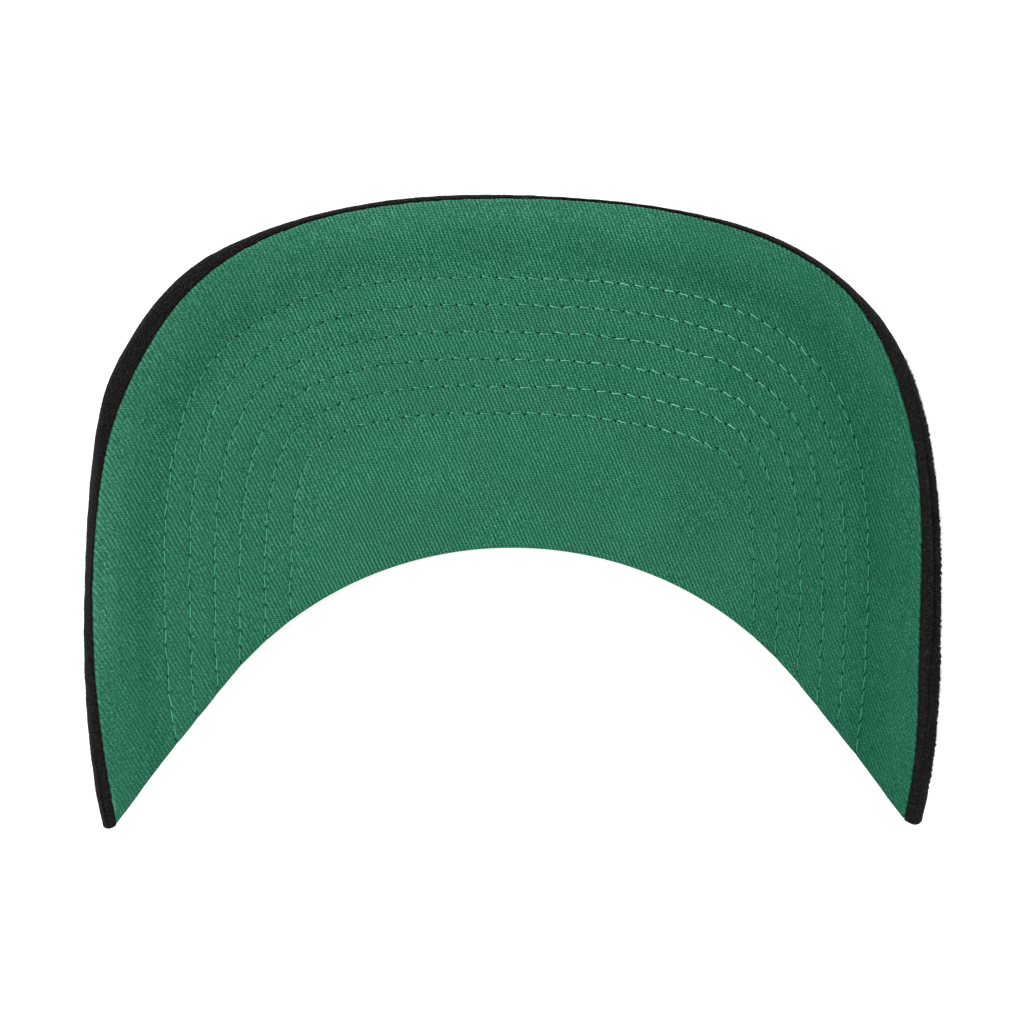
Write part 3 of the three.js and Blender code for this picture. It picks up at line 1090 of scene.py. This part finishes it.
@dataclass
class UnderCloth:
    """Green cloth of the underside, with rolled outer edge, raised strip and stitched field."""

    form: PeakForm
    thickness: float = 1.3
    roll: float = 0.3
    cut_round: float = 0.15
    narrowest: float = 0.08
    sections: int = 740
    roll_steps: int = 5
    field_steps: int = 108
    inner_steps: int = 12

    def build(self) -> Piece:
        """Builds the cloth as one closed body.

        Returns:
            The object. Each ring goes up the rolled edge, over the field to the notch, down the
            cut edge and back along the hidden inner face.
        """
        lines = Sections.across(self.form.pattern, self.sections)
        lines = lines.only(lines.length - lines.seam - lines.gap > self.narrowest)
        start = (lines.seam + lines.gap)[:, None]
        length = lines.length[:, None]
        roll = np.minimum(self.roll, 0.5 * (length - start))
        cut_round = np.minimum(self.cut_round, 0.3 * (length - start))
        turn = np.linspace(0.0, QUARTER_TURN, self.roll_steps, endpoint=False)[None]
        rolled = start + roll * (1.0 - np.cos(turn))
        share = np.linspace(0.0, 1.0, self.field_steps)[None]
        open_field = start + roll + (length - cut_round - start - roll) * share
        back = length + (start - length) * np.linspace(0.0, 1.0, self.inner_steps)[None]
        distance = np.concatenate([rolled, open_field, length, back], axis=1)
        flat = lines.flat(distance)
        spot = self.form.pattern.locate(flat)
        lift = np.ones_like(distance)
        lift[:, : self.roll_steps] = np.sin(turn)
        lift[:, -self.inner_steps :] = 0.0
        depth = lines.rim_depth(distance) - self.form.underside_relief(flat, spot) * lift
        depth[:, : self.roll_steps] += roll * (1.0 - np.sin(turn))
        depth[:, self.roll_steps + self.field_steps] += cut_round[:, 0]
        depth[:, -self.inner_steps :] = self.thickness
        depth = np.minimum(depth, self.thickness)
        depth = HALF_THICKNESS + (depth - HALF_THICKNESS) * lines.fullness[:, None]
        return loft("under_cloth_twill", self.form.bend.place(flat, depth), {
            "weave": self._weave(flat, depth),
            "rows": np.stack(self.form.rows.position(spot), axis=-1),
            "wear": self.form.wear(flat, spot),
        })

    def _weave(self, flat: Array, depth: Array) -> Array:
        """Coordinates of the weave in millimetres: the cloth was pulled slightly out of square."""
        across, forward = flat[..., 0], flat[..., 1]
        u = across * (1.0 + 0.00048 * across - 6.7e-6 * across**2 - 0.00036 * forward)
        v = forward * (1.0 - 0.00035 * across - 0.0011 * forward) + 0.00067 * across**2
        return np.stack([u, v, depth], axis=-1)

    def dress(self, piece: Piece) -> None:
        """Gives the cloth its twill and its slot."""
        piece.data.materials.append(CottonTwill().make(self.form.rows))
        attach(piece, "root")
        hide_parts("under_cloth")


@dataclass
class TopCloth:
    """Black cloth of the upper side, turned over the round rim to the underside."""

    form: PeakForm
    inner_depth: float = 1.6
    roll: float = 0.32
    cut_round: float = 0.3
    sections: int = 900
    bottom_steps: int = 56
    bead_steps: int = 12
    lip_steps: int = 16
    roll_steps: int = 5
    inner_steps: int = 12
    groove_depth: float = 0.4
    groove_angle: float = math.radians(57.0)
    groove_rise: float = math.radians(29.0)
    groove_width: float = 0.19
    bobble: Unevenness = Unevenness(seed=23, shortest=0.7, longest=1.3)
    waver: Unevenness = Unevenness(seed=29, shortest=2.5, longest=9.0)
    waver_height: float = 0.05

    def build(self) -> Piece:
        """Builds the cloth as one closed body.

        Returns:
            The object. Each ring goes from the notch along the upper side, round the rim, over
            the lip to the seam, down its wall and back along the hidden inner face.
        """
        lines = Sections.across(self.form.pattern, self.sections)
        length, seam, rounded = lines.length[:, None], lines.seam[:, None], lines.round_width[:, None]
        roll = np.minimum(self.roll, 0.5 * seam)
        share = np.linspace(0.0, 1.0, self.bottom_steps, endpoint=False)[None]
        bottom = length - self.cut_round * share[:, :1] + (rounded - length) * share
        turn = np.linspace(0.0, QUARTER_TURN, self.bead_steps, endpoint=False)[None]
        bead = rounded * (1.0 - np.sin(turn))
        step = np.linspace(0.0, 1.0, self.lip_steps)[None]
        lip = (seam - roll) * (1.0 - np.cos(step * QUARTER_TURN))
        over = np.linspace(0.0, QUARTER_TURN, self.roll_steps + 1)[None, 1:]
        edge = seam - roll + roll * np.sin(over)
        back = seam + (length - seam) * np.linspace(0.0, 1.0, self.inner_steps)[None]
        distance = np.concatenate([bottom, bead, lip, edge, back], axis=1)
        depth = np.concatenate([
            np.full_like(bottom, THICKNESS),
            HALF_THICKNESS * (1.0 + np.cos(turn)) + 0.0 * bead,
            lines.rim_depth(lip),
            lines.rim_depth(edge) + roll * (1.0 - np.cos(over)),
            np.full_like(back, self.inner_depth),
        ], axis=1)
        upper = lines.flat(distance)[:, : self.bottom_steps]
        depth[:, : self.bottom_steps] -= self.form.upper_relief(upper, self.form.pattern.locate(upper))
        depth[:, 0] -= self.cut_round
        # Painted shade and highlight of the wool, carried in the grain's third part.
        shade = self._shade(lines, distance, self._angle(lines, distance, depth))
        outer = slice(self.bottom_steps, self.bottom_steps + self.bead_steps + self.lip_steps)
        self._dent(lines, distance, depth, outer)
        depth = HALF_THICKNESS + (depth - HALF_THICKNESS) * lines.fullness[:, None]
        outside = np.minimum(distance, 0.0)[..., None] * lines.inward[:, None] * lines.mirror()
        flat = lines.flat(np.maximum(distance, 0.0)) + outside
        run = (lines.place * self.form.pattern.rim.length)[:, None] + 0.0 * distance
        steps = [np.diff(part, axis=1, prepend=0.0) for part in (distance, depth)]
        around = np.cumsum(np.hypot(*steps), axis=1)
        grain = np.stack([run, around, shade], axis=-1)
        return loft("top_cloth_wool", self.form.bend.place(flat, depth), {"grain": grain})

    def _angle(self, lines: Sections, distance: Array, depth: Array) -> Array:
        """Angle round the rim, from 0 where it meets the underside to a half turn below."""
        outward = np.clip(1.0 - distance / lines.round_width[:, None], 0.0, 1.0)
        return np.arctan2(outward, np.clip(1.0 - depth / HALF_THICKNESS, -1.0, 1.0))

    def _groove(self, place: Array, angle: Array) -> Array:
        """Lengthwise groove of the right side, which nears the seam lower down, and of the left tip."""
        centre = self.groove_angle - self.groove_rise * ease(0.78, 0.84, place)
        right = hill(place, 0.74, 0.22) ** 0.5
        left = hill(place, -0.97, 0.07) ** 0.5
        crease = hill(place, 0.672, 0.004) * hill(angle, 1.0, 0.8)
        lengthwise = hill(angle, centre, self.groove_width) * (right + 0.6 * left)
        return np.maximum(lengthwise, 0.5 * crease)

    def _shade(self, lines: Sections, distance: Array, angle: Array) -> Array:
        """Painted light and shade of the wool: painted shade in the groove and in the valley by the seam, a
        painted highlight on the ridge, and paler along the outer edge.
        """
        place = lines.place[:, None]
        valley = np.exp(-(((lines.seam[:, None] - distance) / 0.4) ** 2)) * (angle < QUARTER_TURN)
        lightening = hill(angle, math.radians(125.0), 0.7) * (0.5 + 0.5 * ease(0.3, 0.6, place))
        ridge = hill(angle, math.radians(40.0), 0.3) * hill(place, 0.68, 0.14)
        return 0.2 * lightening + 0.1 * ridge - 0.28 * self._groove(place, angle) - 0.1 * valley

    def _dent(self, lines: Sections, distance: Array, depth: Array, outer: slice) -> None:
        """Presses the groove into the round rim and gives it its bobbled outline.

        Args:
            lines: The section lines.
            distance: Distances from the rim, which it changes.
            depth: Depths below the underside, which it changes. Both move along the rim's normal
                in the plane of the section.
            outer: The columns on the round rim and the lip.
        """
        angle = self._angle(lines, distance[:, outer], depth[:, outer])
        place = lines.place[:, None]
        run = place * self.form.pattern.rim.length
        girth = angle * THICKNESS / 2.0
        groove = self._groove(place, angle) * self.groove_depth
        bobbled = 0.02 + 0.3 * ease(0.5, 0.62, place) + 0.08 * ease(0.78, 0.86, place)
        bobbled = bobbled * (1.0 - ease(0.93, 0.97, place))
        low = ease(0.5, 1.2, angle) * (1.0 - ease(2.4, 3.0, angle))
        swell = bobbled * self.bobble.at(run, girth) * low
        swell = swell + self.waver_height * self.waver.at(run, girth) * low
        seam = lines.seam[:, None]
        fade = 1.0 - ease(seam - 0.8, seam - 0.3, distance[:, outer]) * (angle < QUARTER_TURN)
        move = (swell - groove) * fade * ease(0.0, 3.0, lines.length[:, None] - 2.0)
        drawn = read_table(RIM_DRAW, "inward", place, EDGE_BLEND) * np.sin(angle) ** 2 * fade
        distance[:, outer] += drawn - move * np.sin(angle)
        depth[:, outer] -= move * np.cos(angle)

    def dress(self, piece: Piece) -> None:
        """Gives the cloth its brushed wool and its slot."""
        piece.data.materials.append(BrushedWool().make())
        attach(piece, "root")
        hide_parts("top_cloth")


def beside_and_above(square: Array) -> tuple[Array, Array]:
    """Side vectors of level strands: one in the cloth, from flat vectors, and one up out of it."""
    sideways = np.concatenate([square, np.zeros((len(square), 1))], axis=1)
    upward = np.zeros_like(sideways)
    upward[:, 2] = -1.0
    return sideways, upward


@dataclass
class Topstitching:
    """Six rows of stitches on one side of the peak, each stitch a short thread with its ends sunk."""

    form: PeakForm
    face: Face
    radius: float = 0.125
    end_radius: float = 0.4
    start: float = 0.06
    scatter: float = 0.155
    hook: float = 0.3
    hooked_share: float = 0.35
    end_depth: float = 0.24
    lift: float = 0.05
    arch: float = 0.09
    notch_room: float = 0.3
    steps: int = 9
    sides: int = 8
    seed: int = 41

    def build(self) -> Piece:
        """Builds all the stitches of this side as one mesh.

        Returns:
            The object. A thread's radius follows a flattened arch along its length, and its
            height above the cloth falls below it at both ends. Some start with a small hook.
        """
        starts, ends, places = self._spans()
        looks = {
            column: read_table(STITCH_LOOKS, column, places, LOOK_BLEND)
            for column in ("gleam", "fade", "slant")
        }
        count = len(starts)
        draw = np.random.default_rng(self.seed)
        along = unit(ends - starts)
        square = np.stack([-along[:, 1], along[:, 0]], axis=1)
        jitter = draw.normal(0.0, self.scatter, (count, 2))
        lean = -0.5 * looks["slant"] * np.linalg.norm(ends - starts, axis=1)
        starts = starts + square * (jitter[:, :1] - lean[:, None])
        ends = ends + square * (jitter[:, 1:] + lean[:, None])
        t = 0.5 - 0.5 * np.cos(np.linspace(0.0, np.pi, self.steps))[None]
        flat = starts[:, None] + (ends - starts)[:, None] * t[..., None]
        hooked = (draw.random(count) < self.hooked_share) * (np.abs(places) < 0.5)
        flat[:, 0] -= square * (self.hook * hooked)[:, None]
        off_middle = np.abs(2.0 * t - 1.0)
        size = self.radius * (1.0 + draw.normal(0.0, 0.06, (count, 1)))
        radius = size * (self.end_radius + (1.0 - self.end_radius) * (1.0 - off_middle**5))
        sunk_end = self.end_depth * off_middle**6 * (1.0 - 0.6 * hooked[:, None] * (t < 0.5))
        lift = self.lift + self.arch * np.sin(np.pi * t) - sunk_end
        spot = self.form.pattern.locate(flat)
        if self.face is Face.UNDERSIDE:
            depth = -self._running_mean(self.form.underside_relief(flat, spot)) - lift
        else:
            sunk = self._running_mean(self.form.upper_relief(flat, spot))
            depth = np.minimum(THICKNESS - sunk + lift, THICKNESS - 1.1 * self.radius)
        lines = np.concatenate([flat, depth[..., None]], axis=-1)
        # Painted highlight: each stitch starts bright and dims along its length.
        gleam = looks["gleam"] * draw.normal(1.0, 0.12, count)
        lay = np.stack([
            gleam[:, None] * (1.0 - looks["fade"][:, None] * ease(0.04, 0.4, t)),
            t * np.linalg.norm(ends - starts, axis=1)[:, None],
            np.broadcast_to(draw.uniform(0.0, 6.0, (count, 1)), radius.shape),
        ], axis=-1)
        name = f"topstitching_{self.face.value}"
        return strands(name, lines, *beside_and_above(square), radius, self.sides, self.form.bend, lay)

    def _running_mean(self, heights: Array) -> Array:
        """Heights along each thread evened out, because a taut thread spans small dips."""
        return 0.5 * heights + 0.5 * heights.mean(axis=1, keepdims=True)

    def _spans(self) -> tuple[Array, Array, Array]:
        """Flat start and end and the place of every stitch that lies on the cloth, row by row."""
        rows = self.form.rows
        starts, ends, places = [], [], []
        for row, run in enumerate(rows.runs):
            line = rows.line(row)
            first = math.ceil(run[0] / rows.pitch)
            count = math.floor(run[-1] / rows.pitch) - first
            begin = (first + np.arange(count) + float(rows.phase(np.array(row))) + self.start) * rows.pitch
            place = np.interp(begin, run, rows.places)
            share = read_table(STITCH_LOOKS, "share", place, LOOK_BLEND)
            for at, found in ((begin, starts), (begin + share * rows.pitch, ends)):
                found.append(np.stack([np.interp(at, run, line[:, k]) for k in range(2)], axis=1))
            places.append(place)
        start, end, place = np.concatenate(starts), np.concatenate(ends), np.concatenate(places)
        pattern = self.form.pattern
        clear = np.minimum(pattern.room_at_notch(start), pattern.room_at_notch(end)) > self.notch_room
        return start[clear], end[clear], place[clear]

    def dress(self, piece: Piece) -> None:
        """Gives the stitches their thread and slot."""
        thread = SewingThread("black_polyester_thread", "#111112", "#19191b", "#29292c")
        if self.face is Face.UNDERSIDE:
            thread = SewingThread("green_polyester_thread", "#227453", "#459f7c", "#7ccaae")
        piece.data.materials.append(thread.make())
        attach(piece, "root")


@dataclass
class Nap:
    """Fibre ends that stand off the black rim, longest along the worn right side."""

    form: PeakForm
    count: int = 11000
    steps: int = 3
    sides: int = 3
    radius: float = 0.023
    worn_share: float = 0.6
    worn_angle: float = math.radians(122.0)
    worn_length: float = 0.6
    plain_length: float = 0.2
    above_table: float = 0.05
    upright: float = 0.8
    curled: float = 0.6
    thinning: float = 0.75
    clumps: Unevenness = Unevenness(seed=61, shortest=0.5, longest=1.1)
    seed: int = 59

    def build(self) -> Piece:
        """Builds the fibres as one mesh.

        Returns:
            The object. A fibre leaves the round rim along its normal, tilts along the rim and
            curls as a parabola, and gets thinner to its end. On the worn side the fibres are
            clumped: the swell of the clumps lengthens some and shortens others.
        """
        rim = self.form.pattern.rim
        draw = np.random.default_rng(self.seed)
        worn = draw.random(self.count) < self.worn_share
        place = np.where(
            worn, draw.uniform(0.5, 0.95, self.count), draw.uniform(-0.985, 0.975, self.count)
        )
        angle = np.where(
            worn, draw.normal(self.worn_angle, 0.4, self.count), draw.uniform(0.35, 2.5, self.count)
        )
        clumped = self.clumps.at(place * rim.length, HALF_THICKNESS * angle)
        length = np.where(worn, self.worn_length * np.clip(0.45 + 1.2 * clumped, 0.1, 1.6), self.plain_length)
        length = length * draw.uniform(0.4, 1.4, self.count)
        heading = rim.heading(np.abs(place))
        inward = turned_right(heading)
        drawn = read_table(RIM_DRAW, "inward", place, EDGE_BLEND) * np.sin(angle) ** 2
        inset = HALF_THICKNESS * (1.0 - np.sin(angle)) + drawn
        root = rim.at(np.abs(place)) + inward * inset[:, None]
        depth = HALF_THICKNESS * (1.0 - np.cos(angle))
        normal = np.concatenate([-inward * np.sin(angle)[:, None], -np.cos(angle)[:, None]], axis=1)
        grain = np.concatenate([heading, np.zeros((self.count, 1))], axis=1)
        tilt = draw.normal(0.0, 1.0, (self.count, 1))
        curl = draw.normal(0.0, 0.8, (self.count, 1))
        away = unit(normal * self.upright + grain * tilt)
        sideways = unit(np.cross(away, grain + 0.01))
        upward = np.cross(sideways, away)
        t = np.linspace(0.0, 1.0, self.steps)[None, :, None]
        reach = length[:, None, None] * t
        start = np.concatenate([root, depth[:, None]], axis=1)
        curve = reach * t * curl[:, None] * sideways[:, None] * self.curled
        lines = start[:, None] + reach * away[:, None] + curve
        mirrored = np.where(place < 0.0, -1.0, 1.0)
        lines[..., 0] *= mirrored[:, None]
        sideways[:, 0] *= mirrored
        upward[:, 0] *= mirrored
        sideways = sideways * mirrored[:, None]
        lines[..., 2] = np.minimum(lines[..., 2], THICKNESS - self.above_table)
        radius = self.radius * (1.0 - self.thinning * t[..., 0]) * np.ones((self.count, 1))
        lay = np.broadcast_to(t * np.array([1.0, 0.0, 0.0]), lines.shape)
        return strands("rim_nap", lines, sideways, upward, radius, self.sides, self.form.bend, lay)

    def dress(self, piece: Piece) -> None:
        """Gives the fibres their finish and slot."""
        piece.data.materials.append(LooseFibre("loose_black_wool", "#151516", "#363638").make())
        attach(piece, "root")


@dataclass
class Fray:
    """Frayed ends of the green cloth at its seam: a tuft by the left tip, and a few elsewhere."""

    form: PeakForm
    tuft: int = 60
    sparse: int = 120
    tuft_length: float = 0.34
    sparse_length: float = 0.28
    above_cloth: float = 0.05
    rise: float = 0.3
    steps: int = 4
    sides: int = 4
    radius: float = 0.026
    seed: int = 67

    def build(self) -> Piece:
        """Builds the ends as one mesh.

        Returns:
            The object. An end leaves the rolled edge in a random direction and rises as a parabola.
        """
        draw = np.random.default_rng(self.seed)
        count = self.tuft + self.sparse
        place = np.concatenate([
            draw.uniform(-0.984, -0.966, self.tuft), draw.uniform(-0.95, 0.95, self.sparse)
        ])
        inset = self.form.pattern.seam(place) + draw.uniform(0.0, 0.2, count)
        start = self.form.pattern.point(place, inset)
        heading = draw.uniform(0.0, FULL_TURN, count)
        along = np.stack([np.cos(heading), np.sin(heading)], axis=1)
        t = np.linspace(0.0, 1.0, self.steps)[None]
        length = np.where(np.arange(count) < self.tuft, self.tuft_length, self.sparse_length)
        length = length * draw.uniform(0.5, 1.3, count)
        flat = start[:, None] + along[:, None] * (length[:, None] * t)[..., None]
        outward = np.clip(1.0 - self.form.pattern.locate(flat).inset / HALF_THICKNESS, 0.0, 1.0)
        rim_depth = HALF_THICKNESS * (1.0 - np.sqrt(1.0 - outward**2))
        depth = rim_depth - self.above_cloth - self.rise * length[:, None] * t * (2.0 - t)
        lines = np.concatenate([flat, depth[..., None]], axis=-1)
        square = np.stack([-along[:, 1], along[:, 0]], axis=1)
        radius = self.radius * (1.0 - 0.5 * t) * np.ones((count, 1))
        lay = np.broadcast_to(t[..., None] * np.array([1.0, 0.0, 0.0]), lines.shape)
        return strands("seam_fray", lines, *beside_and_above(square), radius, self.sides, self.form.bend, lay)

    def dress(self, piece: Piece) -> None:
        """Gives the ends their finish and slot."""
        piece.data.materials.append(LooseFibre("loose_green_cotton", "#4d9b7a", "#9bcfba").make())
        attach(piece, "root")


@dataclass(frozen=True)
class Studio:
    """White table, a wide soft light overhead and a pale room, seen from straight above."""

    table_reach: float = 1.5
    camera_place: tuple[float, float, float] = (0.0, -0.00159, 0.576)
    lens: float = 100.0
    light_place: tuple[float, float, float] = (-0.18, 0.28, 1.18)
    light_tilt: tuple[float, float, float] = (math.radians(-13.0), math.radians(-9.0), 0.0)
    light_size: tuple[float, float] = (1.3, 1.1)
    light_power: float = 13.0
    room_level: float = 0.62

    def build(self) -> None:
        """Sets up the table, the light, the room and the camera."""
        self._table()
        self._light()
        self._room()
        self._camera()

    def _table(self) -> None:
        """A level sheet under the peak, well past the edges of the view."""
        corners = np.array([[-1.0, -1.0, 0.0], [1.0, -1.0, 0.0], [1.0, 1.0, 0.0], [-1.0, 1.0, 0.0]])
        none = np.zeros((0, 3), int)
        board = make_mesh("studio_table", corners * self.table_reach, np.array([[0, 1, 2, 3]]), none)
        board.data.materials.append(LightTable().make())

    def _light(self) -> None:
        """One wide lamp above the camera, a little to the front and left."""
        lamp = bpy.data.lights.new("soft_overhead", "AREA")
        lamp.shape = "RECTANGLE"
        lamp.size, lamp.size_y = self.light_size
        lamp.energy = self.light_power
        holder = bpy.data.objects.new("soft_overhead", lamp)
        holder.location = self.light_place
        holder.rotation_euler = self.light_tilt
        bpy.context.scene.collection.objects.link(holder)

    def _room(self) -> None:
        """An even pale room all round."""
        world = bpy.data.worlds.new("pale_room")
        world.use_nodes = True
        world.node_tree.nodes.clear()
        pale = {"Color": linear("#ffffff"), "Strength": self.room_level}
        backdrop = add_node(world.node_tree, "Background", pale)
        add_node(world.node_tree, "OutputWorld", {"Surface": backdrop[0]})
        bpy.context.scene.world = world
        bpy.context.scene.view_settings.view_transform = "Standard"

    def _camera(self) -> None:
        """A long lens looking straight down at the underside."""
        camera = bpy.data.cameras.new("camera")
        camera.lens = self.lens
        camera.sensor_width = 36.0
        camera.clip_start = 0.01
        holder = bpy.data.objects.new("camera", camera)
        holder.location = self.camera_place
        bpy.context.scene.collection.objects.link(holder)
        bpy.context.scene.camera = holder


def main() -> None:
    """Builds and dresses the peak and sets up the studio."""
    logging.basicConfig(level=logging.INFO, format="%(message)s")
    form = PeakForm()
    parts = {
        "under": UnderCloth(form),
        "top": TopCloth(form),
        "green": Topstitching(form, Face.UNDERSIDE),
        "black": Topstitching(form, Face.UPPER_SIDE, seed=43),
        "nap": Nap(form),
        "fray": Fray(form),
    }
    for name, part in parts.items():
        piece = part.build()
        part.dress(piece)
        piece.data.calc_loop_triangles()
        LOG.info("%s: %d triangles", piece.name, len(piece.data.loop_triangles))
    Studio().build()


if __name__ == "__main__":
    main()
